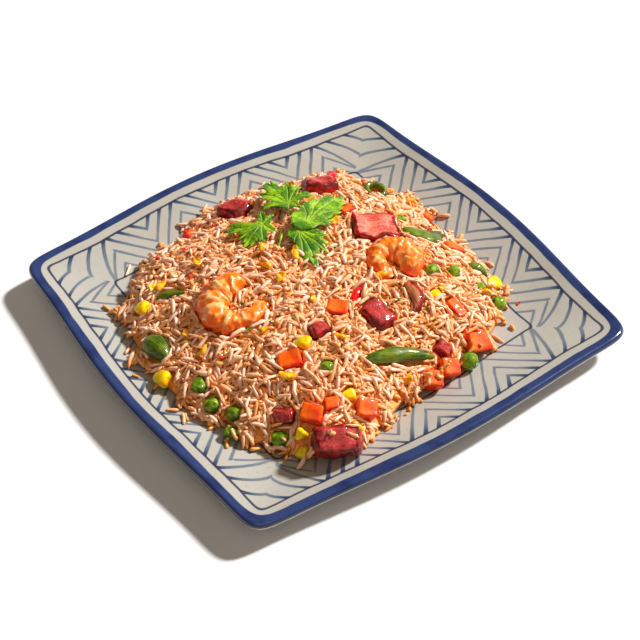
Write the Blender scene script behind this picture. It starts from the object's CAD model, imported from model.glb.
# %% [markdown]
# # Fried rice on a square blue and white plate
# A low heap of fried rice fills a square glazed plate. Shrimps, roast pork, carrot, peas, corn, beans
# and a sprig of coriander lie half sunk in it. The solid model gives every piece its place. This lesson
# dresses it: a painted glaze on the plate, thousands of real grains instead of one lump of rice, and a
# detailed body for each topping. Lengths are in millimetres until a mesh is made, then in metres.

import math

import bmesh
import bpy
import numpy as np
from mathutils import Euler, Matrix, Vector, noise
from mathutils.bvhtree import BVHTree


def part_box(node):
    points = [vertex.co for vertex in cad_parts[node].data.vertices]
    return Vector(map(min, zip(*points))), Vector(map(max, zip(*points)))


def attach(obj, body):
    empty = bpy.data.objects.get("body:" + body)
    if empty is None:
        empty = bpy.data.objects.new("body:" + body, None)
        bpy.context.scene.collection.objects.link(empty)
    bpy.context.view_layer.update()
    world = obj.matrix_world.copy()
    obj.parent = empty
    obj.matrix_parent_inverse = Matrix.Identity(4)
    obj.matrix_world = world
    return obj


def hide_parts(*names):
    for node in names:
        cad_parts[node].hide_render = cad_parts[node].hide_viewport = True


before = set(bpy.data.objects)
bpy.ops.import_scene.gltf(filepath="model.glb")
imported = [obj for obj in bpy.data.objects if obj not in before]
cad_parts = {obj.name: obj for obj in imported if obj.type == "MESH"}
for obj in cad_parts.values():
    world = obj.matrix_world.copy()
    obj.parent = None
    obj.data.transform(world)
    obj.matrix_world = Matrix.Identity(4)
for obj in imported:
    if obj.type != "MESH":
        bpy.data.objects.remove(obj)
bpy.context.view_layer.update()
MM = 0.001
random = np.random.default_rng(7)
# The noise that wrinkles the toppings would start from the clock, so it gets a fixed start as well.
NOISE_START = 1795451784
noise.seed_set(NOISE_START)
print("solid pieces:", len(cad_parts))

# %% [markdown]
# ## Camera and light
# Food is usually lit by one key light behind and beside the dish, so that grains get a bright edge and a
# shadow each. A sun lamp with a small angle gives such light. It could be an area lamp, but then the
# glints on sauce would grow into squares. A dim sky fills the shadows.

# %% Camera
AZIMUTH, ELEVATION, ROLL = math.radians(56.98), math.radians(43.54), math.radians(-1.97)
AIM = Vector((9.73, -6.27, 9.0)) * MM
DISTANCE, LENS, SENSOR, NEAREST = 0.9517, 103.04, 36.0, 0.05

back = Vector((
    math.sin(AZIMUTH) * math.cos(ELEVATION),
    -math.cos(AZIMUTH) * math.cos(ELEVATION),
    math.sin(ELEVATION),
))
level = Vector((math.cos(AZIMUTH), math.sin(AZIMUTH), 0))
right = level * math.cos(ROLL) + back.cross(level) * math.sin(ROLL)
camera = bpy.data.objects.new("camera", bpy.data.cameras.new("camera"))
camera.data.lens, camera.data.sensor_width, camera.data.clip_start = LENS, SENSOR, NEAREST
camera.matrix_world = Matrix.Translation(AIM + back * DISTANCE) @ Matrix(
    (right, back.cross(right), back)
).transposed().to_4x4()
bpy.context.scene.collection.objects.link(camera)
bpy.context.scene.camera = camera
print("camera stands", round(DISTANCE, 2), "m away")

# %% Lights
def add_sun(name, strength, angle, colour, bearing, height):
    """A sun lamp that shines from a bearing and a height above the table, both in degrees."""
    lamp = bpy.data.objects.new(name, bpy.data.lights.new(name, "SUN"))
    lamp.data.energy, lamp.data.angle, lamp.data.color = strength, math.radians(angle), colour
    turn, rise = math.radians(bearing), math.radians(height)
    towards = Vector((math.cos(turn) * math.cos(rise), math.sin(turn) * math.cos(rise), math.sin(rise)))
    lamp.rotation_euler = towards.to_track_quat("Z", "Y").to_euler()
    bpy.context.scene.collection.objects.link(lamp)


add_sun("key light", strength=5.6, angle=6, colour=(1.0, 0.975, 0.96), bearing=84, height=40.5)
add_sun("soft front light", strength=0.4, angle=60, colour=(1.0, 0.88, 0.75), bearing=-30, height=50)
sky = bpy.data.worlds.new("studio")
sky.use_nodes = True
glow = sky.node_tree.nodes["Background"].inputs
glow["Color"].default_value, glow["Strength"].default_value = (1.0, 0.85, 0.68, 1), 0.18
bpy.context.scene.world = sky
bpy.context.scene.view_settings.view_transform = "Standard"
print("lights: a key light, a soft front light and a dim warm sky")

# %% [markdown]
# ## A pen for shader sums
# A material is a tree of nodes. In code it is hard to read, because a sum of two masks takes four calls.
# This small class holds a socket and gives it the usual signs, so that a pattern can be written down as a
# formula. Every later finish starts with a pen, which is a wire that has no socket yet.

# %% The wire class
class Wire:
    """A socket of a material that can be used in sums with other sockets and numbers."""

    def __init__(self, tree, socket=None):
        self.tree, self.socket = tree, socket

    def node(self, kind, settings=None, inputs=None, output=0):
        """Add any node: its settings first, then the values or wires of its sockets."""
        made = self.tree.nodes.new(kind)
        for name, value in (settings or {}).items():
            setattr(made, name, value)
        for name, value in (inputs or {}).items():
            if isinstance(value, Wire):
                self.tree.links.new(value.socket, made.inputs[name])
            else:
                made.inputs[name].default_value = value
        return Wire(self.tree, made.outputs[output])

    def calculate(self, operation, *values):
        """Add one Math node on wires or numbers, in the order of its sockets."""
        return self.node("ShaderNodeMath", {"operation": operation}, dict(enumerate(values)))

    def math(self, operation, *others):
        """Add one Math node that takes this wire first."""
        return self.calculate(operation, self, *others)

    def output(self, number):
        """Another output of the node that this wire comes out of, such as Y after X."""
        return Wire(self.tree, self.socket.node.outputs[number])

    def __add__(self, other):
        return self.math("ADD", other)

    def __radd__(self, other):
        return self.calculate("ADD", other, self)

    def __sub__(self, other):
        return self.math("SUBTRACT", other)

    def __rsub__(self, other):
        return self.calculate("SUBTRACT", other, self)

    def __mul__(self, other):
        return self.math("MULTIPLY", other)

    def __rmul__(self, other):
        return self.calculate("MULTIPLY", other, self)

    def __truediv__(self, other):
        return self.math("DIVIDE", other)

    def __rtruediv__(self, other):
        return self.calculate("DIVIDE", other, self)

    def __pow__(self, other):
        return self.math("POWER", other)

    def __abs__(self):
        return self.math("ABSOLUTE")

    def ease(self, low, high):
        """0 below low, 1 above high, and a smooth step between them."""
        ends = {"From Min": low, "From Max": high, "Value": self}
        return self.node("ShaderNodeMapRange", {"interpolation_type": "SMOOTHSTEP"}, ends)

    def tint(self, other, share):
        """This colour, painted over with another one by a share from 0 to 1."""
        return self.node("ShaderNodeMix", {"data_type": "RGBA"}, {0: share, 6: self, 7: other}, 2)


# %% [markdown]
# ## Helpers for finishes
# Wet food has much in common: light wanders a little way into it, and a film of oil or sauce lies on top.
# One helper starts such a finish, and others give it colours, places, noise and bumps. A colour could be
# typed in as linear numbers, but screen colours are easier to choose, so they are turned into linear ones.

# %% Helpers for finishes
def start_finish(name, **constants):
    """A new Principled material; returns it, its pen, and its shader."""
    made = bpy.data.materials.new(name)
    made.use_nodes = True
    shader = made.node_tree.nodes["Principled BSDF"]
    for socket, value in constants.items():
        shader.inputs[socket.replace("_", " ")].default_value = value
    return made, Wire(made.node_tree), shader


def start_moist(name, depth, share, radius, coat, coat_roughness=0.06, specular=0.2):
    """A finish for moist food: a share of the light goes some millimetres deep, below a film of oil."""
    return start_finish(
        name, Subsurface_Weight=share, Subsurface_Scale=depth * MM, Subsurface_Radius=radius,
        Specular_IOR_Level=specular, Coat_Weight=coat, Coat_Roughness=coat_roughness,
    )


def feed(pen, shader, **wires):
    """Join wires to the sockets of a shader."""
    for socket, wire in wires.items():
        pen.tree.links.new(wire.socket, shader.inputs[socket.replace("_", " ")])


def srgb(red, green, blue):
    """A colour as a screen shows it, 0 to 255, turned into the linear one that shaders use."""
    return tuple((v / 12.92 if v <= 0.04045 else ((v + 0.055) / 1.055) ** 2.4)
                 for v in (red / 255, green / 255, blue / 255))


def paint(pen, red, green, blue):
    """A plain colour, ready to be tinted."""
    colour = (*srgb(red, green, blue), 1)
    return pen.node("ShaderNodeMix", {"data_type": "RGBA"}, {0: 0.0, 6: colour, 7: colour}, 2)


def places(pen):
    """Where a point lies in its own object, in millimetres."""
    coordinates = pen.node("ShaderNodeTexCoord", output=3)
    return pen.node("ShaderNodeVectorMath", {"operation": "SCALE"}, {0: coordinates, "Scale": 1 / MM})


def drawn_out(pen, place, share):
    """Places whose X counts for only a share, so that a noise on them runs in fibres along X."""
    return pen.node("ShaderNodeVectorMath", {"operation": "MULTIPLY"}, {0: place, 1: (share, 1, 1)})


def stored(pen, name):
    """A number that the mesh stores for each of its points."""
    return pen.node("ShaderNodeAttribute", {"attribute_name": name}, output=2)


def cloudy(pen, place, scale, detail=2.0, output=0):
    """Smooth noise from 0 to 1, with so many lumps to a millimetre; output 1 has three of them."""
    return pen.node("ShaderNodeTexNoise", {}, {"Vector": place, "Scale": scale, "Detail": detail}, output)


def relief(pen, height, depth):
    """A bump of so many millimetres, for the Normal socket."""
    return pen.node("ShaderNodeBump", {}, {"Height": height, "Distance": depth * MM, "Strength": 1.0})


def facing_up(pen):
    """1 where a surface faces up, 0 on a wall and -1 underneath."""
    normal = pen.node("ShaderNodeNewGeometry", output=1)
    return pen.node("ShaderNodeSeparateXYZ", {}, {0: normal}, 2)


# %% [markdown]
# ## From points to pieces
# Grains and slices could be modelled by hand and copied. Here they are made as arrays of points, because
# numpy moves a hundred thousand of them at once. These helpers turn the arrays into meshes and hand each
# piece to the model's one body, its root.

# %% Mesh helpers
def add_mesh(name, points, quads, triangles, finish, at=None, values=None):
    """A smooth mesh from points in millimetres, in its own coordinates, placed by a matrix."""
    corners = np.concatenate([np.ravel(quads), np.ravel(triangles)]).astype(np.int32)
    sizes = np.concatenate([np.full(len(quads), 4), np.full(len(triangles), 3)])
    mesh = bpy.data.meshes.new(name)
    mesh.vertices.add(len(points))
    mesh.vertices.foreach_set("co", (np.asarray(points) * MM).astype(np.float32).ravel())
    mesh.loops.add(len(corners))
    mesh.loops.foreach_set("vertex_index", corners)
    mesh.polygons.add(len(sizes))
    mesh.polygons.foreach_set("loop_start", np.concatenate([[0], np.cumsum(sizes)[:-1]]).astype(np.int32))
    mesh.update(calc_edges=True)
    mesh.validate()
    for key, value in (values or {}).items():
        mesh.attributes.new(key, "FLOAT", "POINT").data.foreach_set("value", np.asarray(value, np.float32))
    mesh.shade_smooth()
    mesh.materials.append(finish)
    made = bpy.data.objects.new(name, mesh)
    if at is not None:
        made.matrix_world = at
    bpy.context.scene.collection.objects.link(made)
    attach(made, "root")
    return made


def full_turn(count):
    """So many angles, evenly spaced round a full turn."""
    return 2 * np.pi * np.arange(count) / count


def skin(rings, sides):
    """Quads and triangles over a row of rings that has one more point before it and one behind it."""
    ring, side = np.meshgrid(np.arange(rings - 1), np.arange(sides), indexing="ij")
    near, following = 1 + ring * sides, (side + 1) % sides
    quads = np.stack([near + side, near + following, near + sides + following, near + sides + side], -1)
    side = np.arange(sides)
    following = (side + 1) % sides
    last = 1 + (rings - 1) * sides
    triangles = np.concatenate([
        np.stack([np.full(sides, 0), 1 + following, 1 + side], -1),
        np.stack([np.full(sides, last + sides), last + side, last + following], -1),
    ])
    return quads.reshape(-1, 4), triangles


def wrinkle(points, size, depth, seed):
    """Push points about by a smooth noise with lumps of that size; each seed gives other lumps."""
    shift = Vector((seed * 7.3, seed * 3.1, seed))
    moves = [noise.noise_vector(Vector(p) / size + shift) for p in points]
    return points + depth * np.array(moves)


# %% [markdown]
# ## The plate
# The plate is a square dish of thick glazed stoneware. Its sides swell a little in their middle, its rim
# rises gently and ends in a rolled lip, and it stands on a foot ring. A square could be modelled from a
# box with subdivision, but a formula in polar form keeps it exactly on the solid model: for each bearing
# it gives the reach of the well and of the crest. Rings between them are then skinned.

# %% The plate's formulas, as numpy functions
WELL_Z, WELL_HALF, CREST_HALF, SIDE_BULGE, BULGE_POWER = 9.0, 78.0, 113.0, 6.3, 2.3
WELL_SHARPNESS, RIM_SHARPNESS = 9.0, 22.0
CORNER_RISE, SIDE_RISE, RIM_CURVE = 6.8, 1.8, 1.25
LIP_RADIUS, LIP_TILT, WALL = 2.4, math.radians(15), 5.2
FOOT_OUTER, FOOT_INNER, FOOT_RECESS = 73.8, 70.2, 3.0


def side_swell(bearing):
    """1 in the middle of a side, falling to 0 at a corner."""
    across, along = np.abs(np.cos(bearing)), np.abs(np.sin(bearing))
    ratio = np.minimum(across, along) / np.maximum(across, along)
    return np.cos(np.pi / 2 * ratio)


def square_reach(bearing, half, bulge=0.0, sharpness=WELL_SHARPNESS):
    """Distance from the centre to a rounded square with swelling sides."""
    across, along = np.abs(np.cos(bearing)), np.abs(np.sin(bearing))
    norm = (across**sharpness + along**sharpness) ** (1 / sharpness)
    return (half + bulge * side_swell(bearing) ** BULGE_POWER) / norm


def crest_reach(bearing):
    """Distance from the centre to the crest of the rim."""
    return square_reach(bearing, CREST_HALF, SIDE_BULGE, RIM_SHARPNESS)


def rim_rise(bearing):
    """Height of the crest above the well; the sides stand a little higher than the corners."""
    return CORNER_RISE + SIDE_RISE * side_swell(bearing) ** 2


def plate_height(x, y):
    """Height of the plate's upper face, for arrays of places."""
    bearing = np.arctan2(y, x)
    inner = square_reach(bearing, WELL_HALF)
    climb = np.clip((np.hypot(x, y) - inner) / (crest_reach(bearing) - inner), 0, 1)
    return WELL_Z + rim_rise(bearing) * climb**RIM_CURVE


print("plate: a well", 2 * WELL_HALF, "mm wide inside a rim", 2 * (CREST_HALF + SIDE_BULGE), "mm wide")


# %% [markdown]
# ## The body of the plate
# A profile is walked from the middle of the well over the lip and back under the plate to its foot. Each
# step of it is a ring round the whole plate, and the rings lie close together where the clay turns. A
# Solidify modifier could give the wall, but then the lip and the foot ring would have one thickness.

# %% The plate's body
SIDE_STEPS, LIP_STEPS = 64, 13
steps = np.sin(np.pi / 2 * (2 * np.arange(SIDE_STEPS) / SIDE_STEPS - 1))
bearings = np.concatenate([np.arctan(steps) + side * np.pi / 2 for side in range(4)])
well, crest, rise = square_reach(bearings, WELL_HALF), crest_reach(bearings), rim_rise(bearings)
profile = [(well * share, WELL_Z + 0 * well) for share in (0.2, 0.45, 0.7, 0.88)]
for climb in np.concatenate([[0, 0.03], np.linspace(0.08, 0.92, 13), [0.97]]):
    profile.append((well + climb * (crest - well), WELL_Z + rise * climb**RIM_CURVE))
for angle in np.radians(np.linspace(105, -75, LIP_STEPS)):
    out = LIP_RADIUS * (math.sin(LIP_TILT) + math.cos(angle))
    up = LIP_RADIUS * (math.sin(angle) - math.cos(LIP_TILT))
    profile.append((crest + out, WELL_Z + rise + up))

lip, lip_z = profile[-1]
low, low_z = well + 0.5 * (crest - well), WELL_Z + rise * 0.5**RIM_CURVE - WALL
foot, foot_z = square_reach(bearings, FOOT_OUTER + 1.0), WELL_Z - WALL
profile.append((lip + 0.06 * (low - lip), lip_z + 0.06 * (low_z - lip_z)))
for share in (0.97, 0.75, 0.5, 0.25, 0.0):
    profile.append((foot + share * (low - foot), foot_z + share * (low_z - foot_z)))
for half, z in (
    (FOOT_OUTER + 0.3, 2.6), (FOOT_OUTER, 0.5), (FOOT_OUTER - 0.5, 0.0), (FOOT_INNER + 0.5, 0.0),
    (FOOT_INNER, 0.5), (FOOT_INNER - 0.5, 2.4), (FOOT_INNER - 1.2, FOOT_RECESS), (40, FOOT_RECESS),
):
    profile.append((square_reach(bearings, half), z + 0 * bearings))
plate_rings = [np.stack([r * np.cos(bearings), r * np.sin(bearings), z], -1) for r, z in profile]
plate_points = np.concatenate([[[0, 0, WELL_Z]], *plate_rings, [[0, 0, FOOT_RECESS]]])
plate_quads, plate_ends = skin(len(plate_rings), len(bearings))
print("plate:", len(plate_points), "points in", len(profile), "rings")

# %% [markdown]
# ## The painted border
# The decoration is brushed under the glaze: a blue band over the lip, two thin lines, and between them
# nested chevrons whose strokes are pale where the brush ran dry and dark where it was set down. The
# chevrons are drawn by folding. Fold the plate onto one side, fold that side onto half a chevron, and
# every stroke becomes the same slanted line, repeated at even steps. Near a corner, the strokes bend
# towards the corner of the well and two brace-shaped ones close the border, so these are drawn from
# curves instead.

# %% The glaze material
BORDER_HALF, BORDER_BULGE = 105.2, 6.2
INNER_HALF, INNER_BULGE = 79.0, 8.0
BORDER_DEPTH = BORDER_HALF - INNER_HALF
LINE_SHARPNESS, LINE_SOFTNESS, OUTER_LINE, INNER_LINE = 60, 0.25, 0.62, 0.56
FOLD_EVERY, STROKE_EVERY, STROKE_START, STROKE_SLOPE, STROKE_SLANT = 22.8, 9.75, 7.6, 1.235, 1.59
CORNER, BEND_SLANT, NO_STROKE = 37.0, 0.74, 50
HAND_TREMBLE, BLUE_BAND = 2.2, 2.9


def plate_finish():
    """Off-white glaze over a blue brushed border, with a blue band on the lip."""
    made, pen, shader = start_finish(
        "painted glaze", Roughness=0.16, Coat_Weight=0.35, Coat_Roughness=0.06, IOR=1.5
    )
    flat = places(pen)
    wobble = cloudy(pen, flat, 0.045, 2.0, 1)
    tremble = {0: wobble, 1: (HAND_TREMBLE, HAND_TREMBLE, 0), 2: flat}
    axes = pen.node("ShaderNodeSeparateXYZ", {}, {
        0: pen.node("ShaderNodeVectorMath", {"operation": "MULTIPLY_ADD"}, tremble)
    })
    x, y = axes - HAND_TREMBLE / 2, axes.output(1) - HAND_TREMBLE / 2
    side, along = abs(x).math("MAXIMUM", abs(y)), abs(x).math("MINIMUM", abs(y))
    ratio = along / side
    swell = (ratio * (math.pi / 2)).math("COSINE") ** BULGE_POWER

    def inside(half, bulge, sharpness=LINE_SHARPNESS):
        """How far a point lies inside a rounded square with swelling sides."""
        corner = (ratio**sharpness + 1) ** (1 / sharpness)
        return swell * bulge + half - side * corner

    def thin_line(gap, width):
        """1 on a painted line of that half width, where the gap to it is 0."""
        return (width - abs(gap)).ease(-LINE_SOFTNESS, LINE_SOFTNESS)

    # Depth counts from the outer thin line inwards; signed runs along the side, through 0 in its middle.
    outer, inner = inside(BORDER_HALF, BORDER_BULGE), inside(INNER_HALF, INNER_BULGE)
    border_edge = swell * BORDER_BULGE + BORDER_HALF
    squeeze = BORDER_DEPTH / (swell * (BORDER_BULGE - INNER_BULGE) + BORDER_DEPTH)
    depth = (border_edge - side) * squeeze
    on_x = abs(x).math("GREATER_THAN", abs(y))
    signed = on_x * x.math("SIGN") * y - (1 - on_x) * y.math("SIGN") * x
    lean = depth * 0.1 * (border_edge - along).ease(8.0, 34.0)
    fold = (signed + lean).math("PINGPONG", FOLD_EVERY)
    slanted = depth + fold * STROKE_SLOPE - STROKE_START
    chevron = slanted.math("PINGPONG", STROKE_EVERY / 2) / STROKE_SLANT
    away = border_edge - abs(signed + lean)

    def bent(start, end, bow, first, last, lowest):
        """Distance to a stroke that starts and ends so far from the corner and bows between."""
        share = (depth - first) / (last - first)
        line = start + share * (end - start) + share * (1 - share) * bow
        return abs(away - line) * BEND_SLANT + NO_STROKE * depth.math("LESS_THAN", lowest)

    corner = bent(CORNER, 25.8, -9.0, 0.0, BORDER_DEPTH, -5)
    for stroke in (
        bent(CORNER, 25.8, -3.4, 9.8, BORDER_DEPTH, 9.6),
        bent(CORNER, 30.4, 0.0, 18.5, 26.8, 18.3),
        bent(28.3, 17.4, -9.0, 0.0, 17.4, -5),
        bent(16.3, 9.1, -4.2, 0.0, 9.1, -5),
    ):
        corner = corner.math("MINIMUM", stroke)
    near_corner = away.math("LESS_THAN", CORNER)
    distance = near_corner * corner + (1 - near_corner) * chevron

    # The brush is wet near the outer line, so its strokes are wide and dark there.
    wet = cloudy(pen, flat, 0.09, 3.0)
    pool = (depth * -0.16).math("EXPONENT")
    width = 0.5 + pool * 0.5 + wet * 0.4
    in_border = outer.ease(-0.2, 0.2) * inner.math("LESS_THAN", 0.0)
    ink = (width - distance).ease(-0.28, 0.34) * in_border * (0.6 + pool * 0.35 + wet * 0.3)
    lines = thin_line(outer, OUTER_LINE).math("MAXIMUM", thin_line(inner, INNER_LINE))
    upward = facing_up(pen)
    crest_gap = inside(CREST_HALF, SIDE_BULGE, RIM_SHARPNESS)
    band = (BLUE_BAND - crest_gap).ease(-0.3, 0.3) * upward.ease(-0.16, 0.0)

    mottle = cloudy(pen, flat, 0.02, 4.0)
    body = paint(pen, 178, 176, 168).tint(paint(pen, 170, 165, 152), mottle.ease(0.4, 0.75))
    stroke_blue = paint(pen, 82, 100, 120).tint(paint(pen, 42, 58, 94), pool.ease(0.2, 1.0))
    body = body.tint(stroke_blue, ink)
    body = body.tint(paint(pen, 36, 42, 70), lines * 0.92)
    blue = paint(pen, 40, 59, 106).tint(paint(pen, 24, 40, 86), wet.ease(0.4, 0.75))
    blue = blue.tint(paint(pen, 14, 20, 62), (0.7 - upward).ease(0.0, 0.4) * 0.9)
    body = body.tint(blue, band)
    specks = cloudy(pen, flat, 1.1, 0.0).ease(0.76, 0.8)
    body = body.tint(paint(pen, 150, 120, 88), specks * (1 - band) * 0.5)
    feed(pen, shader, Base_Color=body, Roughness=0.13 + mottle * 0.12)
    feed(pen, shader, Normal=relief(pen, cloudy(pen, flat, 0.16, 2.0), 0.12))
    return made


plate = add_mesh("glazed_plate", plate_points, plate_quads, plate_ends, plate_finish())
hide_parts("plate")
print("glaze:", len(plate.data.materials[0].node_tree.nodes), "nodes")

# %% [markdown]
# ## The rice heap
# The heap is a low dome with an uneven outline. The solid model has it as one lump. Real fried rice is
# loose grains, so the lump becomes a slightly smaller golden core, seen only in the gaps between grains,
# and several thousand modelled grains are laid over it. They could be scattered by a particle system, but
# then they would sink into each other at random. Laying them one by one on a map of heights lets each
# grain rest on those below it, as it does in the dish.

# %% The heap's formulas
HEAP_Y, HEAP_HEIGHT, HEAP_SHOULDER, HEAP_FALL = -6.0, 31.0, 2.2, 0.72
HEAP_OUTLINE = np.array((  # bearing in degrees, reach
    (0, 88), (18, 89), (36, 96), (50, 102), (64, 100), (90, 92), (110, 100), (128, 104),
    (141, 107), (158, 97), (180, 95), (198, 88), (214, 95), (232, 99), (250, 97), (270, 96),
    (290, 97), (301, 96), (307, 105), (315, 101), (327, 110), (335, 109), (345, 100),
))


def heap_reach(bearing):
    """Distance from the heap's middle to its outline: a smooth closed curve through the knots."""
    turn = np.degrees(bearing) % 360
    laps = np.concatenate([HEAP_OUTLINE - (360, 0), HEAP_OUTLINE, HEAP_OUTLINE + (360, 0)])
    knots = np.searchsorted(laps[:, 0], turn, side="right")
    (a0, r0), (a1, r1), (a2, r2), (a3, r3) = (np.moveaxis(laps[knots + k], -1, 0) for k in (-2, -1, 0, 1))
    span = a2 - a1
    t = (turn - a1) / span
    leave, arrive = (r2 - r0) / (a2 - a0) * span, (r3 - r1) / (a3 - a1) * span
    return ((2 * t**3 - 3 * t**2 + 1) * r1 + (t**3 - 2 * t**2 + t) * leave
            + (3 * t**2 - 2 * t**3) * r2 + (t**3 - t**2) * arrive)


def heap_place(bearing, reach):
    """The x and y of places that lie so far from the heap's middle."""
    return reach * np.cos(bearing), reach * np.sin(bearing) + HEAP_Y


def heap_share(x, y):
    """0 in the middle of the heap and 1 at its outline."""
    return np.hypot(x, y - HEAP_Y) / heap_reach(np.arctan2(y - HEAP_Y, x))


def heap_height(x, y):
    """Height of the smooth dome of rice, and of the plate outside it."""
    floor = plate_height(x, y)
    fall = (1 - np.minimum(heap_share(x, y), 1) ** HEAP_SHOULDER) ** HEAP_FALL
    return floor + (WELL_Z + HEAP_HEIGHT - floor) * fall


print("heap: it reaches", HEAP_OUTLINE[:, 1].min(), "to", HEAP_OUTLINE[:, 1].max(), "mm from its middle")

# %% [markdown]
# ## A map of heights
# The grains will need to know what lies under them. Asking the meshes with rays would be slow for
# thousands of grains, so two square tables of numbers take their place, with a cell for each half
# millimetre. One holds how high the finished rice shall reach, with clumps and a ragged outline, and the
# other how high it reaches so far.

# %% A map of heights, half a millimetre to a cell
CELL, EDGE = 0.5, 126.0
THIN_EDGE, CLUMP_HEIGHT, CORE_DEPTH, OUTLINE = 3.2, 1.5, 1.8, 0.965
cells = np.arange(-EDGE, EDGE, CELL) + CELL / 2
map_x, map_y = np.meshgrid(cells, cells, indexing="ij")
target = heap_height(map_x, map_y)
turns = np.arctan2(map_y - HEAP_Y, map_x)
ragged = 0.06 * np.sin(9 * turns + 2) * np.sin(23 * turns) + 0.02 * np.sin(61 * turns)
inside_heap = heap_share(map_x, map_y) < OUTLINE + ragged
bare_plate = plate_height(map_x, map_y)
clump = np.array([
    noise.noise(Vector((x, y, 3.0)) / 7.5) + 0.5 * noise.noise(Vector((x, y, 9.0)) / 3.4)
    for x, y in zip(map_x[inside_heap], map_y[inside_heap])
])
target[inside_heap] += CLUMP_HEIGHT * clump
target = np.where(inside_heap, np.maximum(target, bare_plate + THIN_EDGE), bare_plate)
thickness_of_rice = target - bare_plate
surface = np.maximum(target - CORE_DEPTH, bare_plate)
print("map:", surface.shape, "highest rice", round(float(target.max()), 1), "mm")


def cell_of(x, y):
    """The row and column of the map's cell at a place, or of the nearest one."""
    return tuple(np.clip(((np.asarray(v) + EDGE) / CELL).astype(int), 0, len(cells) - 1) for v in (x, y))


# %% [markdown]
# ## The core of the heap
# Deep in the heap the grains are too crowded to be told apart, and between them it is golden with oil.
# Thousands of hidden grains would cost time and show nothing, so one knobbly shell fills the middle. It
# follows the same dome as the grains do, a little lower.

# %% The core
CORE_SIDES, CORE_RINGS, CORE_INSET, CORE_KNOBS = 160, 34, 4.0, 0.9
PLATE_GAP = 0.35


def core_finish():
    """Golden oily rice, lit as one mass."""
    made, pen, shader = start_finish("browned rice in the depth", Roughness=0.5)
    place = places(pen)
    tone = cloudy(pen, place, 0.35, 3.0)
    body = paint(pen, 250, 176, 96).tint(paint(pen, 240, 138, 30), tone.ease(0.35, 0.65))
    feed(pen, shader, Base_Color=body, Normal=relief(pen, cloudy(pen, place, 0.5, 3.0), 1.2))
    return made


core_bearings = full_turn(CORE_SIDES)
core_reach = heap_reach(core_bearings) - CORE_INSET
core_rings = []
for share in np.sin(np.pi / 2 * np.linspace(0.04, 1, CORE_RINGS)):
    x, y = heap_place(core_bearings, core_reach * share)
    knobs = np.array([noise.noise(Vector((a, b, 0)) / 3.1) for a, b in zip(x, y)])
    z = np.maximum(heap_height(x, y) - CORE_DEPTH + CORE_KNOBS * knobs, plate_height(x, y) + 0.5)
    core_rings.append(np.stack([x, y, z], -1))
for share in (1.0, 0.93, 0.5):
    x, y = heap_place(core_bearings, core_reach * share)
    core_rings.append(np.stack([x, y, plate_height(x, y) + PLATE_GAP], -1))
core_top, core_foot = [0, HEAP_Y, WELL_Z + HEAP_HEIGHT - CORE_DEPTH], [0, HEAP_Y, WELL_Z + PLATE_GAP]
core_points = np.concatenate([[core_top], *core_rings, [core_foot]])
core = add_mesh("rice_core", core_points, *skin(len(core_rings), CORE_SIDES), core_finish())
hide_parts("rice_heap")
print("core:", len(core_points), "points")

# %% [markdown]
# ## How the toppings are placed
# Each topping lies where the solid model has it: its list gives the middle, the heading of its length and
# its size, and the solid's own box gives its height. It could be turned by hand, but the slope of the heap
# is known, so each piece is tipped with it, as a thing that was dropped on it would be.

# %% Finding a topping's bed
SLOPE_SPAN = 5


def ground_height(x, y):
    """Height of the smooth rice, or of the plate just outside it."""
    x, y = np.array(x), np.array(y)
    return float(np.maximum(heap_height(x, y), plate_height(x, y) + PLATE_GAP))


def bed(node, x, y, heading=0.0):
    """The matrix that lays a piece in its place, tipped with the rice under it."""
    slope_x = (ground_height(x + SLOPE_SPAN, y) - ground_height(x - SLOPE_SPAN, y)) / (2 * SLOPE_SPAN)
    slope_y = (ground_height(x, y + SLOPE_SPAN) - ground_height(x, y - SLOPE_SPAN)) / (2 * SLOPE_SPAN)
    upright = Vector((-slope_x, -slope_y, 1)).to_track_quat("Z", "Y").to_euler().to_matrix()
    level = upright @ Matrix.Rotation(-upright.to_euler().z, 3, "Z")
    facing = level @ Matrix.Rotation(math.radians(heading), 3, "Z")
    low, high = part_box(node)
    return Matrix.Translation((x * MM, y * MM, (low.z + high.z) / 2)) @ facing.to_4x4()


toppings = []


def add_topping(node, points, quads, triangles, finish, slot, at, values=None):
    """Add a piece in place of its solid, and remember it for the map of heights."""
    piece = add_mesh("fine_" + node, points, quads, triangles, finish, at, values)
    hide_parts(node)
    toppings.append(piece)


# %% [markdown]
# ## Blocks, balls and kernels
# Carrot dice, pork, peas and kernels all start as the same grid on a cube, drawn out to a shape between
# a ball and a box by one exponent. A low exponent gives a pea and a high one a knife-cut block. A bevelled
# cube would do for the blocks alone, but not for the rest. A smooth noise then takes the stiffness out.

# %% The block shape
def block(size, squareness, cuts):
    """Points and quads of a rounded block; squareness 2 is a ball and 10 a box with soft edges."""
    shape = bmesh.new()
    bmesh.ops.create_cube(shape, size=2)
    bmesh.ops.subdivide_edges(shape, edges=shape.edges, cuts=cuts, use_grid_fill=True)
    points = np.array([v.co for v in shape.verts])
    quads = np.array([[v.index for v in face.verts] for face in shape.faces])
    shape.free()
    points = np.sin(points * np.pi / 2) if squareness > 4 else np.tan(points * np.pi / 4)
    points /= (np.abs(points) ** squareness).sum(1, keepdims=True) ** (1 / squareness)
    return points * np.array(size) / 2, quads


NO_TRIANGLES = np.zeros((0, 3), int)
print("a block with 11 cuts has", len(block((1, 1, 1), 2.0, 11)[1]), "faces")


# %% [markdown]
# ## Carrot dice
# Diced carrot keeps flat knife faces with soft, slightly uneven edges. A plain cube would look like
# plastic, so each die is wrinkled twice: widely for the sag of cooking, and finely for the cut. Its colour
# is nearly even, a little deeper where the core of the root shows, and a film of oil makes it shine.

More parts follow.
